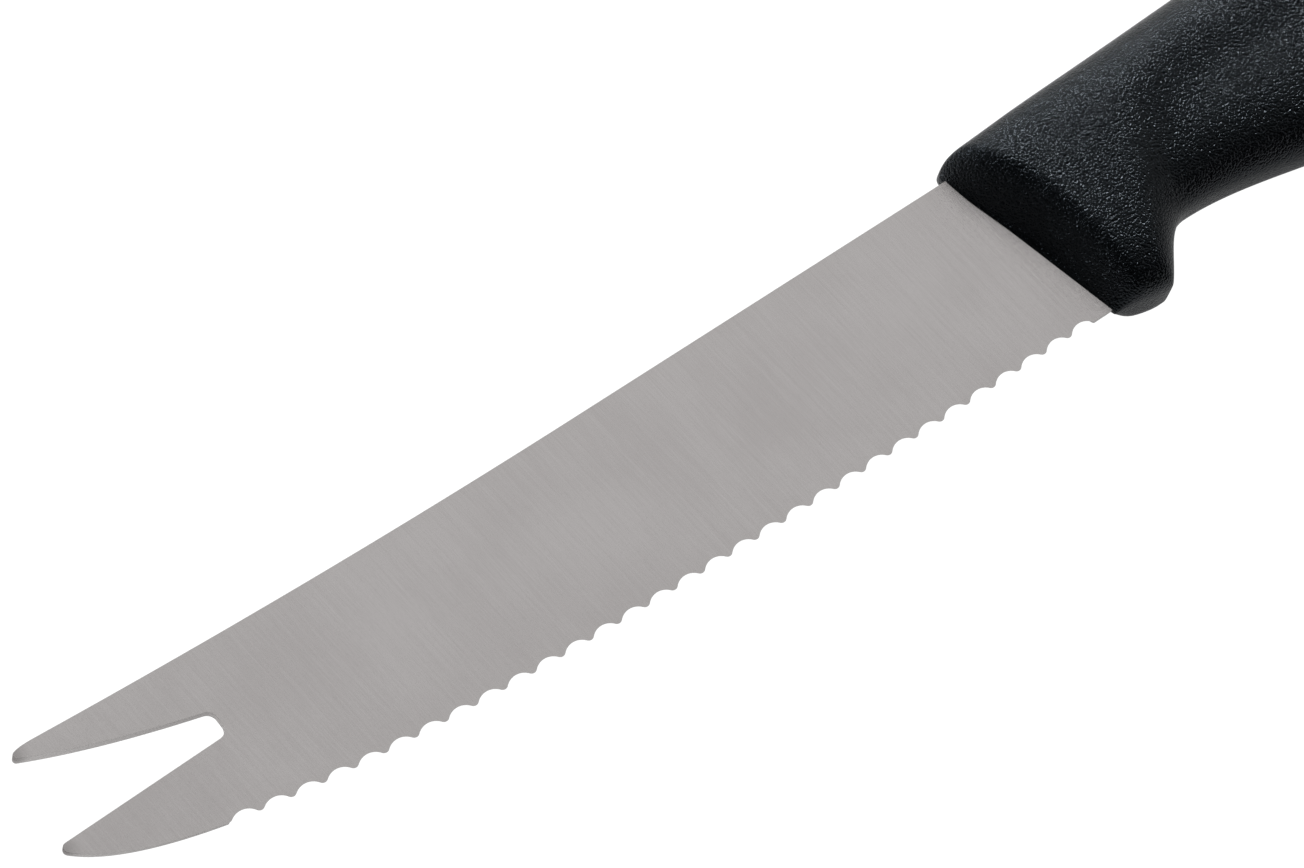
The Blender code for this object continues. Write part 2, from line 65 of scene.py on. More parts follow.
class Wire:
    """Output of a node, with arithmetic that adds Math nodes to its tree."""

    def __init__(self, graph: Graph, socket: bpy.types.NodeSocket) -> None:
        """Hold an output and the graph that it belongs to."""
        self.graph = graph
        self.socket = socket

    def other(self, name: str) -> Wire:
        """Another output of the same node."""
        return Wire(self.graph, self.socket.node.outputs[name])

    def maths(self, operation: str, *others: Operand) -> Wire:
        """Work on this output with a Math node, or a Vector Math node where one is a vector.

        Args:
            operation: The node's operation, such as SINE.
            others: Wires, numbers or vectors for the sockets after the first.

        Returns:
            The node's result.
        """
        return self.graph.maths(operation, self, *others)

    def __add__(self, other: Operand) -> Wire:
        """Sum."""
        return self.graph.maths("ADD", self, other)

    def __radd__(self, other: Operand) -> Wire:
        """Sum, from the right."""
        return self.graph.maths("ADD", other, self)

    def __sub__(self, other: Operand) -> Wire:
        """Difference."""
        return self.graph.maths("SUBTRACT", self, other)

    def __rsub__(self, other: Operand) -> Wire:
        """Difference, from the right."""
        return self.graph.maths("SUBTRACT", other, self)

    def __mul__(self, other: Operand) -> Wire:
        """Product."""
        return self.graph.maths("MULTIPLY", self, other)

    def __rmul__(self, other: Operand) -> Wire:
        """Product, from the right."""
        return self.graph.maths("MULTIPLY", other, self)

    def __truediv__(self, other: Operand) -> Wire:
        """Quotient."""
        return self.graph.maths("DIVIDE", self, other)

    def __rtruediv__(self, other: Operand) -> Wire:
        """Quotient, from the right."""
        return self.graph.maths("DIVIDE", other, self)

    def __lt__(self, other: Operand) -> Wire:
        """1 where this is the smaller, and 0 elsewhere."""
        return self.graph.maths("LESS_THAN", self, other)

    def __gt__(self, other: Operand) -> Wire:
        """1 where this is the larger, and 0 elsewhere."""
        return self.graph.maths("GREATER_THAN", self, other)

    def root(self) -> Wire:
        """Square root, and 0 where this is negative."""
        return self.maths("MAXIMUM", 0.0).maths("SQRT")

    def smooth(self, start: Operand, end: Operand) -> Wire:
        """Ease from 0 at the start to 1 at the end."""
        settings = {"interpolation_type": "SMOOTHSTEP"}
        return self.graph.node("ShaderNodeMapRange", settings, {0: self, 1: start, 2: end})

    def part(self, axis: str) -> Wire:
        """One of a vector's X, Y and Z."""
        return self.graph.node("ShaderNodeSeparateXYZ", {}, {0: self}, axis)


Operand = Union[Wire, float, tuple[float, ...]]


def is_vector(item: Operand) -> bool:
    """Tell a vector from a number."""
    return item.socket.type == "VECTOR" if isinstance(item, Wire) else isinstance(item, tuple)


class Graph:
    """Node tree that every node enters through one method."""

    def __init__(self, tree: bpy.types.NodeTree) -> None:
        """Start from an empty tree."""
        self.tree = tree
        tree.nodes.clear()

    def node(
        self,
        kind: str,
        settings: dict[str, Any],
        inputs: dict[str | int, Any],
        output: str | int = 0,
    ) -> Wire | None:
        """Add a node.

        Args:
            kind: The node's type, such as ShaderNodeTexNoise.
            settings: Its properties, which are set before its sockets are used.
            inputs: Values, wires or lists of wires, by the socket's name or number.
            output: Name or number of the output that is wanted.

        Returns:
            The wanted output, or None for a node that ends its tree.
        """
        node = self.tree.nodes.new(kind)
        for name, value in settings.items():
            setattr(node, name, value)
        for key, value in inputs.items():
            socket = node.inputs[key]
            if isinstance(value, (Wire, list)):
                for wire in value if isinstance(value, list) else [value]:
                    self.tree.links.new(wire.socket, socket)
            elif socket.type == "VECTOR" and isinstance(value, (int, float)):
                socket.default_value = (value, value, value)
            else:
                socket.default_value = value
        return Wire(self, node.outputs[output]) if node.outputs else None

    def maths(self, operation: str, *operands: Operand) -> Wire:
        """Add a Math node, or a Vector Math node where an operand is a vector.

        Args:
            operation: The node's operation, such as SINE.
            operands: Wires, numbers or vectors for its sockets.

        Returns:
            The node's result.
        """
        vectors = any(is_vector(item) for item in operands)
        kind = "ShaderNodeVectorMath" if vectors else "ShaderNodeMath"
        return self.node(kind, {"operation": operation}, dict(enumerate(operands)))

    def mix(self, factor: Operand, first: Operand, second: Operand) -> Wire:
        """Blend two numbers."""
        return self.node("ShaderNodeMix", {"data_type": "FLOAT"}, {0: factor, 2: first, 3: second})

    def mix_colour(self, factor: Operand, first: Operand, second: Operand) -> Wire:
        """Blend two colours."""
        inputs = {"Factor": factor, 6: first, 7: second}
        return self.node("ShaderNodeMix", {"data_type": "RGBA"}, inputs, 2)

    def join(self, x: Operand, y: Operand, z: Operand) -> Wire:
        """Vector from its three parts."""
        return self.node("ShaderNodeCombineXYZ", {}, {"X": x, "Y": y, "Z": z})

    def noise(self, place: Wire, scale: float, detail: float) -> Wire:
        """Noise from 0 to 1 round 0.5, with its scale in waves per metre."""
        return self.node("ShaderNodeTexNoise", {}, {"Vector": place, "Scale": scale, "Detail": detail})


class ShapeTree:
    """Geometry Nodes tree with a named input for each size."""

    def __init__(self, name: str, sizes: dict[str, float]) -> None:
        """Make the tree's sockets and its input node.

        Args:
            name: The tree's name.
            sizes: The value of each named size.
        """
        self.name = name
        self.sizes = sizes
        self.tree = bpy.data.node_groups.new(name, "GeometryNodeTree")
        self.graph = Graph(self.tree)
        self.tree.interface.new_socket("Geometry", in_out="INPUT", socket_type="NodeSocketGeometry")
        for size in sizes:
            self.tree.interface.new_socket(size, in_out="INPUT", socket_type="NodeSocketFloat")
        self.tree.interface.new_socket("Geometry", in_out="OUTPUT", socket_type="NodeSocketGeometry")
        self.start = self.graph.node("NodeGroupInput", {}, {}, "Geometry")

    def size(self, name: str) -> Wire:
        """The input of a named size."""
        return self.start.other(name)

    def store(
        self, geometry: Wire, name: str, kind: str, value: Operand, domain: str = "POINT"
    ) -> Wire:
        """Keep a field as a named attribute of the geometry.

        Args:
            geometry: The geometry that gets the attribute.
            name: The attribute's name.
            kind: Its type, such as FLOAT_VECTOR.
            value: The field.
            domain: POINT, or FACE for a value that must not spread over the faces beside it.

        Returns:
            The geometry with the attribute.
        """
        settings = {"data_type": kind, "domain": domain}
        inputs = {"Geometry": geometry, "Name": name, "Value": value}
        return self.graph.node("GeometryNodeStoreNamedAttribute", settings, inputs)

    def recall(self, name: str, kind: str) -> Wire:
        """Read a named attribute."""
        return self.graph.node("GeometryNodeInputNamedAttribute", {"data_type": kind}, {"Name": name})

    def bake(self, source: bpy.types.Object, name: str) -> bpy.types.Object:
        """Run the tree on an object and keep the result as a plain mesh.

        Args:
            source: The object that the tree starts from. It is removed.
            name: Name of the finished piece.

        Returns:
            The finished piece.
        """
        modifier = source.modifiers.new(self.name, "NODES")
        modifier.node_group = self.tree
        for item in self.tree.interface.items_tree:
            if item.in_out == "INPUT" and item.name in self.sizes:
                modifier[item.identifier] = self.sizes[item.name]
        evaluated = source.evaluated_get(bpy.context.evaluated_depsgraph_get())
        mesh = bpy.data.meshes.new_from_object(evaluated)
        source.modifiers.remove(modifier)
        bpy.data.objects.remove(source)
        mesh.name = name
        piece = bpy.data.objects.new(name, mesh)
        bpy.context.scene.collection.objects.link(piece)
        return piece


def shade(colour: Sequence[float]) -> tuple[float, ...]:
    """Give a colour its alpha."""
    return (*colour, 1.0)


def new_material(name: str) -> tuple[bpy.types.Material, Graph]:
    """Make an empty node material.

    Args:
        name: The material's name.

    Returns:
        The material and the graph that fills it.
    """
    material = bpy.data.materials.new(name)
    material.use_nodes = True
    return material, Graph(material.node_tree)


class Slot(Enum):
    """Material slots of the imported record."""

    STEEL = "ground_steel"
    PLASTIC = "black_plastic"


@dataclass(frozen=True)
class GroundSteel:
    """Stainless steel with the fine lines that a grinding wheel leaves across a blade."""

    colour: tuple[float, float, float] = (0.597, 0.573, 0.567)
    dull_colour: tuple[float, float, float] = (0.549, 0.524, 0.517)
    # Painted light: a lighter colour for the walls round the outline, to lift their darker shading to
    # the faces' tone.
    painted_wall_light_colour: tuple[float, float, float] = (0.74, 0.717, 0.71)
    roughness: float = 0.22
    grind_roughness: float = 0.20
    rim_roughness: float = 0.62
    roughness_spread: float = 0.05
    line_width: float = 0.10 * MM
    line_length: float = 9 * MM
    line_lean: float = math.radians(5.5)
    line_relief: float = 0.002 * MM
    hairline_width: float = 0.010 * MM
    hairline_length: float = 1.0 * MM
    hairline_relief: float = 0.0035 * MM
    band_share: float = 0.45
    band_ratio: float = 4.0
    cloud_width: float = 11 * MM
    fine_detail: float = 3.0
    broad_detail: float = 2.0
    tint_start: float = 0.35
    tint_end: float = 0.65
    # Painted shade at the prong tips, and how far from each tip it reaches.
    painted_tip_shade_colour: tuple[float, float, float] = (0.42, 0.40, 0.395)
    painted_tip_shade_reach: float = 1.8 * MM

    def material(self, tips: Sequence[Vector]) -> bpy.types.Material:
        """Build the steel's material.

        Args:
            tips: The blade's points, round which shade is painted darker than the faces.

        Returns:
            The material.
        """
        material, graph = new_material(Slot.STEEL.value)
        place = graph.node("ShaderNodeTexCoord", {}, {}, "Object")
        turned = graph.node(
            "ShaderNodeVectorRotate",
            {"rotation_type": "Z_AXIS"},
            {"Vector": place, "Angle": -self.line_lean},
        )
        stretch = (1 / self.line_width, 1 / self.line_length, 1 / self.line_width)
        broad_stretch = tuple(value / self.band_ratio for value in stretch)
        lines = graph.noise(turned * stretch, 1.0, self.fine_detail)
        bands = graph.noise(turned * broad_stretch, 1.0, self.broad_detail)
        streak = lines * (1 - self.band_share) + bands * self.band_share
        clouds = graph.noise(place, 1 / self.cloud_width, self.fine_detail)
        dullness = ((clouds + streak) * 0.5).smooth(self.tint_start, self.tint_end)
        tint = graph.mix_colour(dullness, shade(self.colour), shade(self.dull_colour))
        # Painted light: the walls, marked by the rim attribute, get a lighter colour than the faces, to
        # lift their darker shading.
        rim = graph.node("ShaderNodeAttribute", {"attribute_name": "rim"}, {}, "Fac")
        tint = graph.mix_colour(rim, tint, shade(self.painted_wall_light_colour))
        # Painted shade: the colour darkens towards each prong's tip, standing in for the shading of the
        # rounded-over tips.
        for tip in tips:
            away = graph.node(
                "ShaderNodeVectorMath", {"operation": "DISTANCE"}, {0: place, 1: tip}, "Value"
            )
            tint = graph.mix_colour(away.smooth(0.0, self.painted_tip_shade_reach), shade(self.painted_tip_shade_colour), tint)
        ground = graph.node("ShaderNodeAttribute", {"attribute_name": "ground"}, {}, "Fac")
        rough = graph.mix(ground, self.roughness, self.grind_roughness)
        rough = graph.mix(rim * (1.0 - ground), rough, self.rim_roughness)
        hair_stretch = (1 / self.hairline_width, 1 / self.hairline_length, 1 / self.hairline_width)
        hairlines = graph.noise(turned * hair_stretch, 1.0, 0.0)
        relief = streak * self.line_relief + hairlines * self.hairline_relief
        bump_inputs = {"Distance": 1.0, "Height": relief}
        shader = graph.node(
            "ShaderNodeBsdfPrincipled",
            {},
            {
                "Base Color": tint,
                "Metallic": 1.0,
                "Roughness": (streak - 0.5) * self.roughness_spread + rough,
                "Normal": graph.node("ShaderNodeBump", {}, bump_inputs),
            },
        )
        graph.node("ShaderNodeOutputMaterial", {}, {"Surface": shader})
        return material


@dataclass(frozen=True)
class GrainedPlastic:
    """Black plastic with the pebbled grain of a spark-eroded mould."""

    colour: tuple[float, float, float] = (0.0018, 0.0022, 0.0026)
    crest_colour: tuple[float, float, float] = (0.0032, 0.0039, 0.0046)
    sheen: tuple[float, float, float] = (0.745, 0.875, 1.0)
    sheen_level: float = 0.315
    roughness: float = 0.16
    roughness_spread: float = 0.10
    grain_width: float = 0.24 * MM
    grain_relief: float = 0.135 * MM
    grain_drift: float = 0.7
    grain_softness: float = 0.15
    fine_width: float = 0.11 * MM
    fine_share: float = 0.25
    drift_scale: float = 0.6
    noise_detail: float = 2.0
    crest_start: float = 0.45
    crest_end: float = 0.9

    def material(self) -> bpy.types.Material:
        """Build the plastic's material.

        Returns:
            The material.
        """
        material, graph = new_material(Slot.PLASTIC.value)
        place = graph.node("ShaderNodeTexCoord", {}, {}, "Object")
        drift_pace = self.drift_scale / self.grain_width
        drift = graph.noise(place, drift_pace, self.noise_detail).other("Color")
        middle = graph.maths("SUBTRACT", drift, (0.5, 0.5, 0.5))
        warped = place + middle * (self.grain_drift * self.grain_width)
        cells = graph.node(
            "ShaderNodeTexVoronoi",
            {"feature": "SMOOTH_F1"},
            {"Vector": warped, "Scale": 1 / self.grain_width, "Smoothness": self.grain_softness},
        )
        fine = graph.noise(place, 1 / self.fine_width, self.noise_detail)
        pebbles = 1.0 - cells * cells
        height = pebbles * (1 - self.fine_share) + fine * self.fine_share
        crest = height.smooth(self.crest_start, self.crest_end)
        bump_inputs = {"Distance": self.grain_relief, "Height": height}
        shader = graph.node(
            "ShaderNodeBsdfPrincipled",
            {},
            {
                "Base Color": graph.mix_colour(crest, shade(self.colour), shade(self.crest_colour)),
                "Roughness": (fine - 0.5) * self.roughness_spread + self.roughness,
                "Specular IOR Level": self.sheen_level,
                "Specular Tint": shade(self.sheen),
                "Normal": graph.node("ShaderNodeBump", {}, bump_inputs),
            },
        )
        graph.node("ShaderNodeOutputMaterial", {}, {"Surface": shader})
        return material


def smooth_step(value: float) -> float:
    """Ease from 0 to 1 as the value goes from 0 to 1."""
    value = min(max(value, 0.0), 1.0)
    return value * value * (3 - 2 * value)


def heading(angle: float) -> Vector:
    """Unit vector at an angle from +X."""
    return Vector((math.cos(angle), math.sin(angle)))


def bezier(points: Sequence[Vector], steps: int) -> list[Vector]:
    """Points along a Bezier curve of any degree.

    Args:
        points: The curve's control points.
        steps: How many points to make.

    Returns:
        The points, without the curve's first one.
    """
    run = []
    for step in range(1, steps + 1):
        level = list(points)
        while len(level) > 1:
            level = [a.lerp(b, step / steps) for a, b in zip(level, level[1:])]
        run.append(level[0])
    return run


def arc(centre: Vector, radius: float, start: float, end: float, steps: int) -> list[Vector]:
    """Points along an arc, both ends included."""
    turns = (start + (end - start) * step / steps for step in range(steps + 1))
    return [centre + radius * heading(turn) for turn in turns]


def fillet(before: Vector, corner: Vector, after: Vector, radius: float, steps: int) -> list[Vector]:
    """Round a corner with an arc that touches both of its sides.

    Args:
        before: A point on the side that leads to the corner.
        corner: The corner.
        after: A point on the side that leads away.
        radius: The arc's radius.
        steps: How many parts the arc has.

    Returns:
        Points along the arc, both ends included.
    """
    to_before = (before - corner).normalized()
    to_after = (after - corner).normalized()
    half = to_before.angle(to_after) / 2
    centre = corner + (to_before + to_after).normalized() * (radius / math.sin(half))
    first = corner + to_before * (radius / math.tan(half)) - centre
    last = corner + to_after * (radius / math.tan(half)) - centre
    start = math.atan2(first.y, first.x)
    return arc(centre, radius, start, start - first.angle_signed(last), steps)


def crossing(start: Vector, way: Vector, other_start: Vector, other_way: Vector) -> Vector:
    """Point where two straight lines meet."""
    return start + way * ((other_start - start).cross(other_way) / way.cross(other_way))


@dataclass(frozen=True)
class Joint:
    """Slanted line where the blade enters the handle, from the spine's corner to the edge's."""

    setback: float = 5.1 * MM
    blade_length: float = 110 * MM
    blade_height: float = 19.75 * MM

    def corner(self) -> Vector:
        """Spine's corner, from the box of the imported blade."""
        low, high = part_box("blade")
        return Vector((low.x + self.blade_length, low.y + self.blade_height, (low.z + high.z) / 2))

    def at(self, y: float, behind: float = 0.0) -> Vector:
        """Point at a height on the joint's line, or on a line behind it."""
        return Vector((behind - y / self.blade_height * self.setback, y))


@dataclass
class Blade:
    """Stamped blade with a forked tip and a wave edge that is ground from the far side."""

    joint: Joint = field(default_factory=Joint)
    spine_sweep_length: float = 64 * MM
    spine_sweep_radius: float = 980 * MM
    upper_tip_setback: float = 1.35 * MM
    upper_tip_radius: float = 0.37 * MM
    upper_tip_depth: float = 0.62 * MM
    upper_tip_turn: float = math.radians(22)
    upper_shoulder_length: float = 2.6 * MM
    lower_tip_radius: float = 0.53 * MM
    slot_depth: float = 18.85 * MM
    slot_floor: float = 7.55 * MM
    slot_root_height: float = 2.63 * MM
    slot_root_radius: float = 1.05 * MM
    slot_tip_drop: float = 0.35 * MM
    flank_tip_angle: float = math.radians(24.7)
    flank_root_angle: float = math.radians(15.2)
    belly_tip_angle: float = math.radians(43.8)
    belly_tip_reach: float = 16 * MM
    belly_heel_reach: float = 44.4 * MM
    tooth_pitch: float = 3.21 * MM
    teeth: int = 31
    wave_depth: float = 0.69 * MM
    wave_radius: float = 1.685 * MM
    first_tooth: float = 14.96 * MM
    grind_width: float = 1.5 * MM
    grind_run_in: float = 0.9 * MM
    stock_thickness: float = 1.5 * MM
    edge_thickness: float = 0.5 * MM
    distal_taper: float = 0.3 * MM
    grind_end: float = 2 * MM
    hidden_length: float = 6 * MM
    hidden_radius: float = 1 * MM
    arris_radius: float = 0.02 * MM
    tooth_arris_radius: float = 0.02 * MM
    tip_arris_radius: float = 0.03 * MM
    tip_arris_length: float = 2.0 * MM
    point_spacing: float = 0.1 * MM
    arris_points: int = 5
    arc_steps: int = 16
    line_steps: int = 300
    crease: float = math.radians(24)

    def spine_height(self, x: float) -> float:
        """Height of the spine: straight from the handle, then swept up along a wide arc."""
        into_sweep = max(0.0, -x - (self.joint.blade_length - self.spine_sweep_length))
        return self.spine_sweep_radius - math.sqrt(self.spine_sweep_radius**2 - into_sweep**2)

    def upper_tip(self) -> list[Vector]:
        """Draw the upper prong's tip: a shallow curve down from the spine, then a small round.

        Returns:
            Points from the spine to the start of the slot's upper flank.
        """
        length = self.joint.blade_length
        shoulder_x = self.upper_tip_setback + self.upper_shoulder_length - length
        shoulder = Vector((shoulder_x, self.spine_height(shoulder_x)))
        x = self.upper_tip_setback + self.upper_tip_radius - length
        centre = Vector((x, self.spine_height(x) - self.upper_tip_depth))
        start = math.pi / 2 + self.upper_tip_turn
        end = 1.5 * math.pi - self.flank_tip_angle
        tip = arc(centre, self.upper_tip_radius, start, end, self.arc_steps)
        lean = math.asin((self.spine_sweep_length - length - shoulder_x) / self.spine_sweep_radius)
        bend = crossing(shoulder, heading(-lean), tip[0], heading(self.upper_tip_turn))
        return [shoulder] + bezier([shoulder, bend, tip[0]], self.arc_steps) + tip[1:]

    def fork(self) -> list[Vector]:
        """Draw both prongs' tips and the slot between them.

        Returns:
            Points from the spine to the start of the edge.
        """
        length = self.joint.blade_length
        run = self.upper_tip()
        root_x = self.slot_depth - length
        upper_corner = Vector((root_x, self.slot_root_height - self.slot_floor))
        lower_corner = Vector((root_x, -self.slot_floor))
        radius = self.lower_tip_radius
        low_centre = Vector((radius - length, -self.slot_floor - self.slot_tip_drop - radius))
        low_start = math.pi / 2 + math.atan2(self.slot_tip_drop, self.slot_depth)
        low_end = 1.5 * math.pi - self.belly_tip_angle
        low_tip = arc(low_centre, radius, low_start, low_end, self.arc_steps)
        towards_root = heading(-self.flank_tip_angle)
        from_root = heading(math.pi - self.flank_root_angle)
        bend = crossing(run[-1], towards_root, upper_corner, from_root)
        radius = self.slot_root_radius
        upper_root = fillet(bend, upper_corner, lower_corner, radius, self.arc_steps)
        run += bezier([run[-1], bend, upper_root[0]], self.arc_steps)
        run += upper_root[1:]
        run += fillet(upper_corner, lower_corner, low_tip[0], radius, self.arc_steps)
        return run + low_tip

    def outline(self) -> list[Vector]:
        """Draw the blade's outline before its waves are cut.

        Returns:
            Points from the lower prong's tip along the edge, the hidden end, the spine and the fork.
        """
        fork = self.fork()
        tip = fork[-1]
        heel = self.joint.at(-self.joint.blade_height)
        from_tip = tip + self.belly_tip_reach * heading(-self.belly_tip_angle)
        from_heel = heel - Vector((self.belly_heel_reach, 0.0))
        edge = [tip] + bezier([tip, from_tip, from_heel, heel], self.line_steps)
        start = self.spine_sweep_length - self.joint.blade_length
        low = self.joint.at(-self.joint.blade_height, self.hidden_length)
        high = self.joint.at(0.0, self.hidden_length)
        hidden = fillet(heel, low, high, self.hidden_radius, self.arc_steps)
        hidden += fillet(low, high, Vector((start, 0.0)), self.hidden_radius, self.arc_steps)
        end = fork[0].x
        steps = range(self.line_steps)
        places = [start + (end - start) * step / self.line_steps for step in steps]
        spine = [Vector((x, self.spine_height(x))) for x in places]
        return edge + hidden + spine + fork[:-1]

    def tips(self) -> list[Vector]:
        """Find the points of the two prongs, close to the blade's plain face.

        Returns:
            The upper prong's point and the lower prong's.
        """
        run = self.fork()
        upper = min(run[: len(run) // 2], key=lambda point: point.x)
        lower = min(run[len(run) // 2 :], key=lambda point: point.x)
        rise = Vector((0.0, 0.0, self.edge_thickness))
        return [self.joint.corner() + point.to_3d() + rise for point in (upper, lower)]

    def draw(self) -> bpy.types.Object:
        """Draw the outline as a closed curve in the blade's middle plane.

        Returns:
            The curve's object.
        """
        curve = bpy.data.curves.new("blade_outline", "CURVE")
        curve.dimensions = "3D"
        outline = self.outline()
        spline = curve.splines.new("POLY")
        spline.points.add(len(outline) - 1)
        for point, place in zip(spline.points, outline):
            point.co = (place.x, place.y, 0.0, 1.0)
        spline.use_cyclic_u = True
        drawn = bpy.data.objects.new("blade_outline", curve)
        bpy.context.scene.collection.objects.link(drawn)
        return drawn

    def sizes(self) -> dict[str, float]:
        """Named inputs of the shape tree."""
        return {
            "Blade Length": self.joint.blade_length,
            "Blade Height": self.joint.blade_height,
            "Tooth Pitch": self.tooth_pitch,
            "Teeth": self.teeth,
            "Wave Depth": self.wave_depth,
            "Wave Radius": self.wave_radius,
            "First Tooth": self.first_tooth,
            "Grind Width": self.grind_width,
            "Grind Run In": self.grind_run_in,
            "Stock Thickness": self.stock_thickness,
            "Edge Thickness": self.edge_thickness,
            "Distal Taper": self.distal_taper,
            "Grind End": self.grind_end,
            "Arris Radius": self.arris_radius,
            "Tooth Arris Radius": self.tooth_arris_radius,
            "Tip Arris Radius": self.tip_arris_radius,
            "Tip Arris Length": self.tip_arris_length,
            "Point Spacing": self.point_spacing,
        }

    def wave(self, shape: ShapeTree, along: Wire) -> tuple[Wire, Wire, Wire]:
        """Cut the waves: hollows of one radius that meet in small round tooth tips.

        Args:
            shape: The tree that holds the sizes.
            along: Distance along the edge from the lower prong's tip.

        Returns:
            How far in the edge lies, how much farther in the ground side lies, and 1 along
            the teeth and 0 elsewhere.
        """
        pitch = shape.size("Tooth Pitch")
        depth = shape.size("Wave Depth")
        radius = shape.size("Wave Radius")
        half_pitch = pitch * 0.5
        reach = (depth * depth + half_pitch * half_pitch) / (depth * 2.0)
        tip_radius = reach - radius
        into = along - shape.size("First Tooth")
        to_end = pitch * shape.size("Teeth") - into
        toothed = (into > 0.0) * (to_end > 0.0)
        phase = (into.maths("FLOORED_MODULO", pitch) - half_pitch).maths("ABSOLUTE")
        hollow = depth - radius + (radius * radius - phase * phase).root()
        to_tip = half_pitch - phase
        tip = tip_radius - (tip_radius * tip_radius - to_tip * to_tip).root()
        in_hollow = phase < radius * half_pitch / reach
        cut = shape.graph.mix(in_hollow, tip, hollow) * toothed
        run_in = into.maths("MINIMUM", to_end).smooth(0.0, shape.size("Grind Run In"))
        return cut, run_in * shape.size("Grind Width") * toothed, toothed

    def half_thickness(self, shape: ShapeTree, place: Wire) -> Wire:
        """Work out half the steel's thickness, ground thinner towards the edge and the fork.

        Args:
            shape: The tree that holds the sizes.
            place: The place on the blade.

        Returns:
            Half the thickness there.
        """
        stock = shape.size("Stock Thickness")
        per_height = (stock - shape.size("Edge Thickness")) / shape.size("Blade Height")
        per_length = shape.size("Distal Taper") / shape.size("Blade Length")
        from_grind_end = place.part("X") - shape.size("Grind End")
        return (stock + place.part("Y") * per_height + from_grind_end * per_length) * 0.5

    def shape(self, steel: bpy.types.Material) -> ShapeTree:
        """Build the tree that cuts the waves, grinds the taper and closes the plate.

        Args:
            steel: The blade's material.

        Returns:
            The tree, ready to run on the outline.
        """
        shape = ShapeTree("wave_edge_blade", self.sizes())
        graph = shape.graph
        outline = graph.node(
            "GeometryNodeResampleCurve",
            {"mode": "LENGTH"},
            {"Curve": shape.start, "Length": shape.size("Point Spacing")},
        )
        spline = graph.node("GeometryNodeSplineParameter", {}, {})
        tangent = graph.node("GeometryNodeInputTangent", {}, {})
        inward = graph.maths("CROSS_PRODUCT", (0.0, 0.0, 1.0), tangent)
        position = graph.node("GeometryNodeInputPosition", {}, {})
        outline = shape.store(outline, "spot", "FLOAT_VECTOR", position)
        outline = shape.store(outline, "inward", "FLOAT_VECTOR", inward)
        outline = shape.store(outline, "along", "FLOAT", spline.other("Length"))
        spot = shape.recall("spot", "FLOAT_VECTOR")
        inward = shape.recall("inward", "FLOAT_VECTOR")
        cut, grind, toothed = self.wave(shape, shape.recall("along", "FLOAT"))
        from_tip = spot.part("X") + shape.size("Blade Length")
        tip_share = 1.0 - from_tip.smooth(0.0, shape.size("Tip Arris Length"))
        plain_arris = shape.size("Arris Radius") + tip_share * shape.size("Tip Arris Radius")
        arris = graph.mix(toothed, plain_arris, shape.size("Tooth Arris Radius"))

        count = 2 * self.arris_points
        line_ends = {"Start": (0.0, 0.0, -1.0), "End": (0.0, 0.0, 1.0)}
        line = graph.node("GeometryNodeCurvePrimitiveLine", {}, line_ends)
        profile = graph.node(
            "GeometryNodeResampleCurve", {"mode": "COUNT"}, {"Curve": line, "Count": count}
        )
        profile = shape.store(profile, "across", "FLOAT", spline.other("Factor"))
        across = shape.recall("across", "FLOAT")
        side = (across < 0.5) * 2.0 - 1.0
        turn = across.maths("MINIMUM", 1.0 - across) * ((count - 1) / (self.arris_points - 1))
        turn = turn * (math.pi / 2)
        inset = 1.0 - turn.maths("SINE")
        drop = 1.0 - turn.maths("COSINE")

        walls = graph.node(
            "GeometryNodeCurveToMesh", {}, {"Curve": outline, "Profile Curve": profile}
        )
        moved = spot + inward * (cut + grind * (0.5 - side * 0.5) + arris * inset)
        height = side * (self.half_thickness(shape, moved) - arris * drop)
        rim = graph.join(moved.part("X"), moved.part("Y"), height)
        walls = graph.node("GeometryNodeSetPosition", {}, {"Geometry": walls, "Position": rim})
        walls = shape.store(walls, "ground", "FLOAT", toothed, "FACE")
        walls = shape.store(walls, "rim", "FLOAT", 1.0, "FACE")
        walls = graph.node("GeometryNodeSetShadeSmooth", {}, {0: walls, "Shade Smooth": True})
        parts = [walls]
        for face in (1.0, -1.0):
            moved = spot + inward * (cut + grind * (0.5 - face * 0.5) + arris)
            edge = graph.node("GeometryNodeSetPosition", {}, {"Geometry": outline, "Position": moved})
            cap = graph.node("GeometryNodeFillCurve", {"mode": "NGONS"}, {"Curve": edge})
            height = self.half_thickness(shape, position) * face
            flat = graph.join(position.part("X"), position.part("Y"), height)
            cap = graph.node("GeometryNodeSetPosition", {}, {"Geometry": cap, "Position": flat})
            parts.append(graph.node("GeometryNodeSetShadeSmooth", {}, {0: cap, "Shade Smooth": False}))
        whole = graph.node("GeometryNodeJoinGeometry", {}, {"Geometry": parts})
        whole = graph.node("GeometryNodeMergeByDistance", {}, {0: whole, "Distance": MERGE_DISTANCE})
        whole = graph.node("GeometryNodeRealizeInstances", {}, {0: whole})
        whole = graph.node("GeometryNodeSetMaterial", {}, {0: whole, "Material": steel})
        graph.node("NodeGroupOutput", {}, {0: whole})
        return shape

    def build(self, steel: bpy.types.Material) -> bpy.types.Object:
        """Make the blade, with its place in its mesh.

        Args:
            steel: The blade's material.

        Returns:
            The finished piece.
        """
        piece = self.shape(steel).bake(self.draw(), "steel_blade")
        mesh = piece.data
        for name in ("spot", "inward", "along", "across"):
            if name in mesh.attributes:
                mesh.attributes.remove(mesh.attributes[name])
        bm = bmesh.new()
        bm.from_mesh(mesh)
        bmesh.ops.recalc_face_normals(bm, faces=bm.faces[:])
        bmesh.ops.translate(bm, verts=bm.verts[:], vec=self.joint.corner())
        bm.to_mesh(mesh)
        bm.free()
        mesh.set_sharp_from_angle(angle=self.crease)
        for face in mesh.polygons:
            face.use_smooth = len(face.vertices) == 4
        return piece


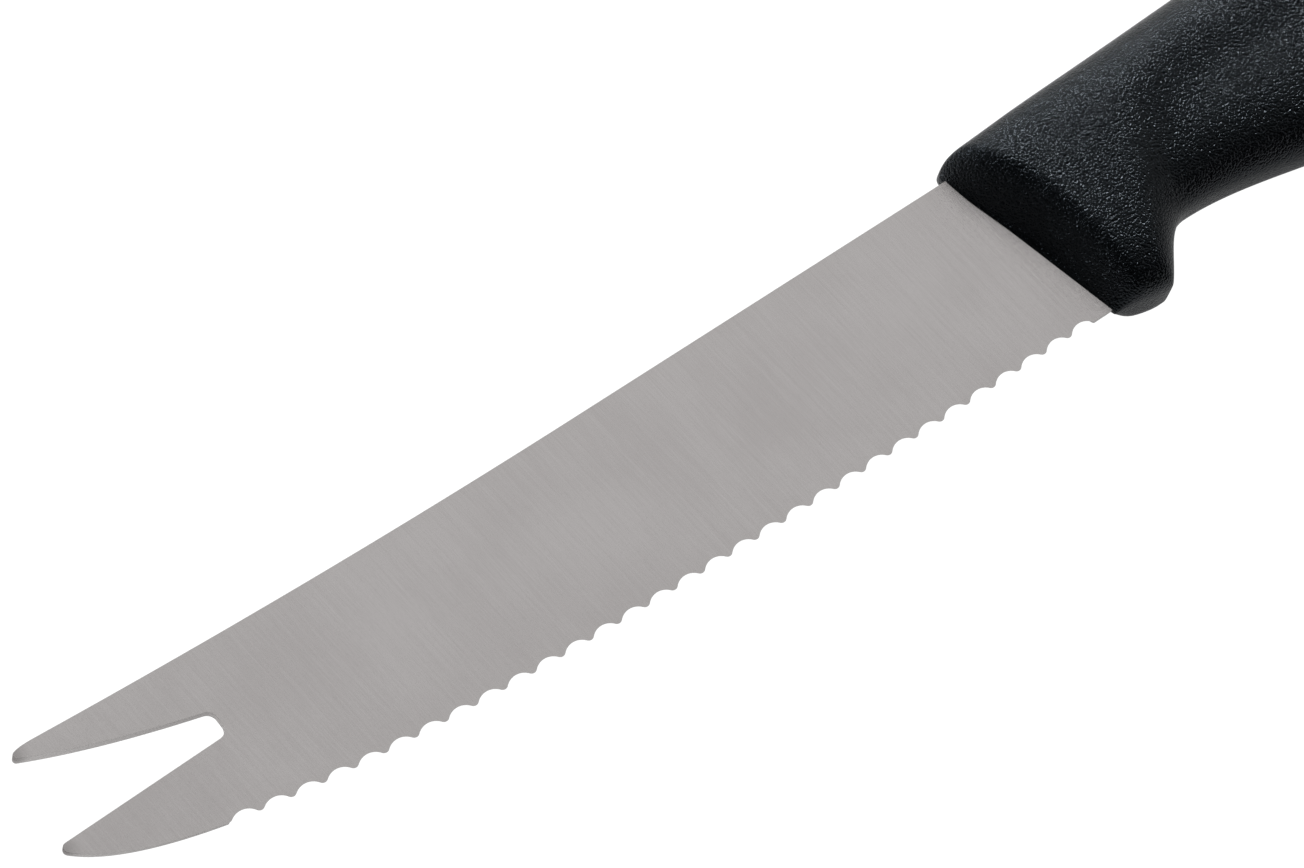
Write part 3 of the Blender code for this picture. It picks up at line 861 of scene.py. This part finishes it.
def follow(stations: Sequence[tuple[float, float]], place: float) -> float:
    """Value at a place on a smooth curve through stations.

    Args:
        stations: Places along the handle in order, each with its value.
        place: Where the value is wanted.

    Returns:
        The value, which never swings past the stations on either side.
    """
    places = [station[0] for station in stations]
    values = [station[1] for station in stations]
    last = len(stations) - 1
    if place <= places[0]:
        return values[0]
    if place >= places[last]:
        return values[last]
    span = max(index for index in range(last) if places[index] <= place)
    slopes = [(values[i + 1] - values[i]) / (places[i + 1] - places[i]) for i in range(last)]
    slopes = [slopes[0], *slopes, slopes[-1]]

    def tangent(index: int) -> float:
        """Slope at a station: level where the curve turns back, between its sides elsewhere."""
        before, after = slopes[index], slopes[index + 1]
        return 0.0 if before * after <= 0 else 2 * before * after / (before + after)

    width = places[span + 1] - places[span]
    share = (place - places[span]) / width
    start_pull = share * (1 - share) ** 2 * width * tangent(span)
    end_pull = share**2 * (1 - share) * width * tangent(span + 1)
    rise = (values[span + 1] - values[span]) * smooth_step(share)
    return values[span] + rise + start_pull - end_pull


def round_out(place: float, length: float) -> float:
    """Quarter round from 0 at the joint to 1 at the round's length."""
    left = max(0.0, 1 - place / length)
    return math.sqrt(1 - left * left)


def ramp_out(place: float, length: float) -> float:
    """Softer start than a quarter round: a slope that levels off at the ramp's length."""
    return math.sin(math.pi / 2 * min(1.0, place / length))


@dataclass(frozen=True)
class Section:
    """One section of the handle."""

    top: Vector
    bottom: Vector
    half_thickness: float
    thinning: float
    squareness: float


@dataclass
class Handle:
    """Moulded handle: finger guard and groove, raised shoulder, let-in grip panel and butt."""

    joint: Joint = field(default_factory=Joint)
    length: float = 107.99 * MM
    thickness: float = 13 * MM
    crown: float = 0.12 * MM
    mouth_lip: float = 0.45 * MM
    mouth_spine_thickness: float = 1.9 * MM
    mouth_edge_thickness: float = 1.0 * MM
    mouth_bow: tuple[tuple[float, float], ...] = (
        (0.0, -0.24 * MM),
        (0.15, -0.26 * MM),
        (0.58, 0.50 * MM),
        (1.0, 0.20 * MM),
    )
    nose_top_length: float = 1.4 * MM
    nose_spine_length: float = 2.2 * MM
    nose_middle_length: float = 5.0 * MM
    nose_edge_length: float = 3.4 * MM
    shoulder_rise: float = 1.46 * MM
    groove_rise: float = 2.45 * MM
    back_rise: float = 3.49 * MM
    waist_rise: float = 2.9 * MM
    butt_rise: float = 0.2 * MM
    guard_length: float = 7.4 * MM
    guard_drop: float = 1.77 * MM
    guard_place: float = 8.3 * MM
    groove_place: float = 18.4 * MM
    groove_depth: float = 15.85 * MM
    belly_depth: float = 19.9 * MM
    waist_depth: float = 17.8 * MM
    butt_depth: float = 20.9 * MM
    butt_length: float = 10 * MM
    butt_flat: float = 0.18
    belly_share: float = 0.30
    fullest_share: float = 0.48
    waist_share: float = 0.68
    butt_share: float = 0.92
    nose_fullness: float = 0.93
    groove_fullness: float = 0.985
    waist_fullness: float = 0.98
    butt_fullness: float = 0.86
    guard_thinning: float = 0.31
    groove_thinning: float = 0.16
    guard_squareness: float = 4.0
    groove_squareness: float = 3.0
    grip_squareness: float = 2.45
    butt_squareness: float = 2.6
    panel_step: float = 1.05 * MM
    panel_front: float = 12.8 * MM
    panel_front_lean: float = 0.40
    panel_top: float = -3.4 * MM
    panel_corner: float = 6.0 * MM
    panel_edge_width: float = 4.8 * MM
    panel_top_share: float = 0.7
    panel_fade_start: float = 34 * MM
    panel_fade_length: float = 20 * MM
    nose_rings: int = 22
    butt_rings: int = 20
    ring_spacing: float = 0.6 * MM
    ring_points: int = 176
    crease: float = math.radians(50)

    def grip_place(self, share: float) -> float:
        """Place along the grip, from the finger groove to the butt."""
        return self.groove_place + share * (self.length - self.groove_place)

    def section(self, place: float) -> Section:
        """Section of the handle at a distance from the joint.

        Args:
            place: Distance from the joint, along the handle's top.

        Returns:
            The section's top and bottom points, half its full thickness, how much it thins
            towards the underside, and its squareness.
        """
        belly = self.grip_place(self.belly_share)
        fullest = self.grip_place(self.fullest_share)
        waist = self.grip_place(self.waist_share)
        butt = self.grip_place(self.butt_share)
        back = [
            (0.0, self.shoulder_rise),
            (self.groove_place, self.groove_rise),
            (belly, self.back_rise),
            (waist, self.waist_rise),
            (butt, self.butt_rise),
            (self.length, -self.butt_length / 2),
        ]
        underside = [
            (self.guard_place, -self.joint.blade_height - self.guard_drop),
            (self.groove_place, -self.groove_depth),
            (belly, -self.belly_depth),
            (waist, -self.waist_depth),
            (butt, -self.butt_depth),
            (self.length, -self.butt_depth),
        ]
        fullness = [
            (0.0, self.nose_fullness),
            (self.groove_place, self.groove_fullness),
            (fullest, 1.0),
            (waist, self.waist_fullness),
            (self.length, self.butt_fullness),
        ]
        thinning = [
            (self.guard_place, self.guard_thinning),
            (self.groove_place, self.groove_thinning),
            (belly, 0.0),
        ]
        squareness = [
            (self.guard_place, self.guard_squareness),
            (self.groove_place, self.groove_squareness),
            (belly, self.grip_squareness),
            (self.length, self.butt_squareness),
        ]
        into_butt = max(0.0, (place - self.length) / self.butt_length + 1)
        closing = math.sqrt(1 - (1 - self.butt_flat**2) * into_butt**2)
        lean = self.joint.setback * (1 - smooth_step(place / self.groove_place))
        rounded = round_out(place, self.nose_top_length)
        rise = self.mouth_lip + (follow(back, place) - self.mouth_lip) * rounded
        lip = -self.joint.blade_height - self.mouth_lip
        drop = lip + (follow(underside, place) - lip) * ramp_out(place, self.guard_length)
        top = Vector((place, rise))
        bottom = Vector((place + lean, drop))
        middle = (top + bottom) / 2
        half = (self.thickness / 2 + self.crown) * follow(fullness, place)
        return Section(
            middle + (top - middle) * math.sqrt(closing),
            middle + (bottom - middle) * math.sqrt(closing),
            half * closing,
            follow(thinning, place),
            follow(squareness, place),
        )

    def nose_half(self, place: float, half: float, depth: float) -> float:
        """Round the nose down to the blade, most gently halfway down the joint.

        Args:
            place: Distance from the joint.
            half: Half the section's full thickness.
            depth: 0 at the section's top and 1 at its bottom.

        Returns:
            Half the thickness there.
        """
        taper = self.mouth_spine_thickness - self.mouth_edge_thickness
        mouth = (self.mouth_spine_thickness - taper * depth) / 2
        sides = self.nose_spine_length + (self.nose_edge_length - self.nose_spine_length) * depth
        middle = self.nose_middle_length - (self.nose_spine_length + self.nose_edge_length) / 2
        length = sides + middle * 4 * depth * (1 - depth)
        left = max(0.0, 1 - place / length)
        return mouth + (half - mouth) * (1 - left * left)

    def panel_share(self, point: Vector) -> float:
        """Tell how far a point is inside the grip panel.

        Args:
            point: A place on the handle's side.

        Returns:
            0 on the shoulder, 1 on the panel's floor, and a share of 1 on the slope between.
        """
        lean = self.panel_front_lean
        behind = point.x - self.panel_front - lean * (point.y + self.joint.blade_height)
        from_front = behind / math.hypot(1.0, lean)
        from_top = (self.panel_top - point.y) * self.panel_top_share
        overlap = max(self.panel_corner - abs(from_front - from_top), 0.0) / self.panel_corner
        inside = min(from_front, from_top) - overlap * overlap * self.panel_corner / 4
        fade = 1 - smooth_step((point.x - self.panel_fade_start) / self.panel_fade_length)
        return smooth_step(0.5 + inside / self.panel_edge_width) * fade

    def ring(self, place: float) -> list[Vector]:
        """Draw one section of the handle.

        Args:
            place: The section's distance from the joint.

        Returns:
            Points round the section.
        """
        section = self.section(place)
        middle = (section.top + section.bottom) / 2
        power = 2 / section.squareness
        points = []
        for index in range(self.ring_points):
            turn = math.tau * index / self.ring_points
            across = math.copysign(abs(math.cos(turn)) ** power, math.cos(turn))
            out = math.copysign(abs(math.sin(turn)) ** power, math.sin(turn))
            point = middle + (section.top - middle) * across
            depth = (1 - across) / 2
            full = section.half_thickness * (1 - section.thinning * depth**2)
            half = self.nose_half(place, full, depth)
            height = half * out * (1 - self.panel_step / half * self.panel_share(point))
            limit = self.thickness / 2
            shift = follow(self.mouth_bow, depth) * (1 - smooth_step(place / self.nose_middle_length))
            points.append(Vector((point.x + shift, point.y, min(max(height, -limit), limit))))
        return points

    def places(self) -> list[float]:
        """Space the sections, closer together where the handle rounds over.

        Returns:
            The sections' distances from the joint.
        """
        quarter = math.pi / 2
        start = self.nose_middle_length
        end = self.length - self.butt_length
        count = round((end - start) / self.ring_spacing)
        turns = [quarter * step / self.nose_rings for step in range(self.nose_rings)]
        places = [start * (1 - math.cos(turn)) for turn in turns]
        places += [start + (end - start) * step / count for step in range(count)]
        turns = [quarter * step / self.butt_rings for step in range(self.butt_rings + 1)]
        return places + [end + self.butt_length * math.sin(turn) for turn in turns]

    def build(self, plastic: bpy.types.Material) -> bpy.types.Object:
        """Loft the handle through its sections, with its place in its mesh.

        Args:
            plastic: The handle's material.

        Returns:
            The finished piece.
        """
        corner = self.joint.corner()
        bm = bmesh.new()
        rows = [[bm.verts.new(corner + point) for point in self.ring(place)] for place in self.places()]
        for row, after in zip(rows, rows[1:]):
            for index, vert in enumerate(row):
                bm.faces.new((row[index - 1], vert, after[index], after[index - 1]))
        bm.faces.new(rows[0])
        bm.faces.new(rows[-1])
        bmesh.ops.recalc_face_normals(bm, faces=bm.faces[:])
        mesh = bpy.data.meshes.new("moulded_handle")
        bm.to_mesh(mesh)
        bm.free()
        mesh.shade_smooth()
        mesh.set_sharp_from_angle(angle=self.crease)
        mesh.materials.append(plastic)
        piece = bpy.data.objects.new("moulded_handle", mesh)
        bpy.context.scene.collection.objects.link(piece)
        return piece


class Reach(Enum):
    """What a lamp lights, as the state of the steel in its light linking."""

    STEEL = "INCLUDE"
    ALL_BUT_STEEL = "EXCLUDE"


def hang_lamp(
    name: str, shape: str, size: tuple[float, float], glow: float, place: Matrix
) -> bpy.types.Object:
    """Hang an area lamp that the camera doesn't see.

    Args:
        name: The lamp's name.
        shape: ELLIPSE or RECTANGLE.
        size: Its sizes along its own X and Y.
        glow: Its brightness, in which 1 is as bright as white.
        place: Where its middle is, and how it is turned. It shines down its own Z.

    Returns:
        The lamp.
    """
    light = bpy.data.lights.new(name, "AREA")
    light.shape = shape
    light.size, light.size_y = size
    filled = math.pi / 4 if shape == "ELLIPSE" else 1.0
    light.energy = glow * math.pi * filled * size[0] * size[1]
    lamp = bpy.data.objects.new(name, light)
    lamp.matrix_world = place
    lamp.visible_camera = False
    bpy.context.scene.collection.objects.link(lamp)
    return lamp


def aim_light(lamp: bpy.types.Object, reach: Reach, steel: bpy.types.Object) -> None:
    """Let a lamp light the steel alone, or everything but the steel.

    Args:
        lamp: The lamp.
        reach: What it lights.
        steel: The blade.
    """
    group = bpy.data.collections.new(lamp.name)
    group.objects.link(steel)
    group.collection_objects[0].light_linking.link_state = reach.value
    lamp.light_linking.receiver_collection = group


@dataclass(frozen=True)
class Lamp:
    """Oval lamp that hangs over the knife and faces it."""

    name: str
    reach: Reach
    way: tuple[float, float, float]
    size: tuple[float, float]
    glow: float
    distance: float = 0.9

    def build(self, steel: bpy.types.Object) -> None:
        """Hang the lamp.

        Args:
            steel: The blade, which the lamp lights or leaves out.
        """
        way = Vector(self.way).normalized()
        turn = way.to_track_quat("Z", "Y").to_matrix().to_4x4()
        place = Matrix.Translation(way * self.distance) @ turn
        aim_light(hang_lamp(self.name, "ELLIPSE", self.size, self.glow, place), self.reach, steel)


@dataclass(frozen=True)
class Tent:
    """Light tent that the steel mirrors. Its fork wall is faint, to keep the nose dark."""

    reach: float = 0.40
    height: float = 0.40
    glow: float = 0.43
    fork_wall_glow: float = 0.16

    def build(self, steel: bpy.types.Object) -> None:
        """Hang the tent's top and its four walls.

        Args:
            steel: The blade, which alone is lit by the tent.
        """
        top = Matrix.Translation((0.0, 0.0, self.height))
        width = 2 * self.reach
        roof = hang_lamp("tent_top", "RECTANGLE", (width, width), self.glow, top)
        aim_light(roof, Reach.STEEL, steel)
        upright = Matrix.Rotation(math.pi / 2, 4, "Y")
        out = Matrix.Translation((self.reach, 0.0, self.height / 2))
        for index, side in enumerate(("butt", "spine", "fork", "edge")):
            glow = self.fork_wall_glow if side == "fork" else self.glow
            place = Matrix.Rotation(index * math.pi / 2, 4, "Z") @ out @ upright
            wall = hang_lamp(f"tent_{side}_wall", "RECTANGLE", (self.height, width), glow, place)
            aim_light(wall, Reach.STEEL, steel)


LAMPS = (
    Lamp(
        name="soft_lamp",
        reach=Reach.ALL_BUT_STEEL,
        way=(0.34, 0.49, 0.80),
        size=(0.85, 1.10),
        glow=0.607,
    ),
    Lamp(
        name="steel_lamp",
        reach=Reach.STEEL,
        way=(0.34, 0.49, 0.80),
        size=(0.85, 1.10),
        glow=0.25,
    ),
    Lamp(
        name="spark_lamp",
        reach=Reach.ALL_BUT_STEEL,
        way=(0.45, 0.64, 0.62),
        size=(0.50, 0.50),
        glow=98.0,
        distance=3.0,
    ),
    Lamp(
        name="nose_lamp",
        reach=Reach.ALL_BUT_STEEL,
        way=(-0.57, 0.65, 0.50),
        size=(0.08, 0.08),
        glow=31.7,
        distance=0.4,
    ),
)


@dataclass
class Studio:
    """Pale floor, lamps, light tent, dark side cards, pale surroundings and the camera."""

    joint: Joint = field(default_factory=Joint)
    camera_offset: tuple[float, float, float] = (-235.41 * MM, -137.94 * MM, 471.07 * MM)
    camera_azimuth: float = math.radians(-55.783)
    camera_elevation: float = math.radians(63.397)
    camera_roll: float = math.radians(20.064)
    camera_lens: float = 154.6
    camera_sensor: float = 36.0
    floor_size: float = 6.0
    floor_gap: float = 0.02 * MM
    floor_colour: float = 0.60
    floor_glow: float = 0.90
    floor_mirrored_glow: float = 0.30
    floor_light: float = 1.16
    lamps: tuple[Lamp, ...] = LAMPS
    tent: Tent = Tent()
    card_distance: float = 0.42
    card_length: float = 1.5
    card_height: float = 0.40
    card_colour: float = 0.01
    horizon: float = 0.45
    zenith: float = 0.04
    horizon_height: float = 0.35
    zenith_height: float = 0.70

    def sheet(self, name: str, width: float, height: float, place: Matrix) -> bpy.types.Object:
        """Make a flat rectangle that stands or lies at a place.

        Args:
            name: The object's name.
            width: Its size along its own X.
            height: Its size along its own Y.
            place: Where its middle is, and how it is turned.

        Returns:
            The rectangle, marked as part of the stage.
        """
        mesh = bpy.data.meshes.new(name)
        signs = ((-1, -1), (1, -1), (1, 1), (-1, 1))
        corners = [(x * width / 2, y * height / 2, 0.0) for x, y in signs]
        mesh.from_pydata(corners, [], [(0, 1, 2, 3)])
        thing = bpy.data.objects.new(name, mesh)
        thing.matrix_world = place
        bpy.context.scene.collection.objects.link(thing)
        return thing

    def floor(self) -> None:
        """Lay a pale floor that glows for the camera and in reflections, and keeps the shadow."""
        material, graph = new_material("pale_floor")
        paint = shade((self.floor_colour,) * 3)
        matt = graph.node("ShaderNodeBsdfDiffuse", {}, {"Color": paint})
        glow = graph.node("ShaderNodeEmission", {}, {"Strength": self.floor_light})
        ray = graph.node("ShaderNodeLightPath", {}, {}, "Is Camera Ray")
        mirrored = ray.other("Is Glossy Ray").maths("MAXIMUM", ray.other("Is Transmission Ray"))
        share = (ray * self.floor_glow).maths("MAXIMUM", mirrored * self.floor_mirrored_glow)
        surface = graph.node("ShaderNodeMixShader", {}, {0: share, 1: matt, 2: glow})
        graph.node("ShaderNodeOutputMaterial", {}, {"Surface": surface})
        place = Matrix.Translation((0.0, 0.0, -self.floor_gap))
        self.sheet("floor", self.floor_size, self.floor_size, place).data.materials.append(material)

    def cards(self) -> None:
        """Stand dark cards along the edge and at the fork, out of the camera's sight."""
        material, graph = new_material("dark_card")
        paint = shade((self.card_colour,) * 3)
        matt = graph.node("ShaderNodeBsdfDiffuse", {}, {"Color": paint})
        graph.node("ShaderNodeOutputMaterial", {}, {"Surface": matt})
        upright = Matrix.Rotation(math.pi / 2, 4, "X")
        offset = Vector((0.0, -self.card_distance, self.card_height / 2))
        for name, turn in (("edge_card", 0.0), ("fork_card", -math.pi / 2)):
            place = Matrix.Rotation(turn, 4, "Z") @ Matrix.Translation(offset) @ upright
            card = self.sheet(name, self.card_length, self.card_height, place)
            card.data.materials.append(material)
            card.visible_camera = False

    def surroundings(self) -> None:
        """Fill the room with pale light from the sides and less from above."""
        world = bpy.data.worlds.new("pale_room")
        world.use_nodes = True
        graph = Graph(world.node_tree)
        way = graph.node("ShaderNodeTexCoord", {}, {}, "Generated")
        share = way.part("Z").smooth(self.horizon_height, self.zenith_height)
        paint = graph.mix_colour(share, shade((self.horizon,) * 3), shade((self.zenith,) * 3))
        light = graph.node("ShaderNodeBackground", {}, {"Color": paint})
        graph.node("ShaderNodeOutputWorld", {}, {"Surface": light})
        bpy.context.scene.world = world

    def camera(self) -> None:
        """Set the camera where the photograph was taken from."""
        data = bpy.data.cameras.new("camera")
        data.sensor_width = self.camera_sensor
        data.lens = self.camera_lens
        thing = bpy.data.objects.new("camera", data)
        turn = Matrix.Rotation(self.camera_azimuth, 4, "Z")
        tilt = Matrix.Rotation(math.pi / 2 - self.camera_elevation, 4, "X")
        roll = Matrix.Rotation(self.camera_roll, 4, "Z")
        place = Matrix.Translation(self.joint.corner() + Vector(self.camera_offset))
        thing.matrix_world = place @ turn @ tilt @ roll
        bpy.context.scene.collection.objects.link(thing)
        bpy.context.scene.camera = thing

    def build(self, steel: bpy.types.Object) -> None:
        """Set up everything round the knife.

        Args:
            steel: The blade, which has its own lamps.
        """
        self.floor()
        self.cards()
        for lamp in self.lamps:
            lamp.build(steel)
        self.tent.build(steel)
        self.surroundings()
        self.camera()
        bpy.context.scene.view_settings.view_transform = "Standard"


def fit(piece: bpy.types.Object, node: str) -> None:
    """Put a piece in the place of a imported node.

    Args:
        piece: The finished piece.
        node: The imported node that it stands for.
    """
    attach(piece, BODY)
    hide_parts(node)
    LOG.info("%s stands for %s, with %d faces", piece.name, node, len(piece.data.polygons))


def main() -> None:
    """Build the knife's pieces and the studio round them."""
    logging.basicConfig(level=logging.INFO, format="%(message)s")
    LOG.info("The packed model has %d nodes", len(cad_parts))
    blade = Blade()
    steel = blade.build(GroundSteel().material(blade.tips()))
    fit(steel, "blade")
    fit(Handle().build(GrainedPlastic().material()), "handle")
    Studio().build(steel)


if __name__ == "__main__":
    main()
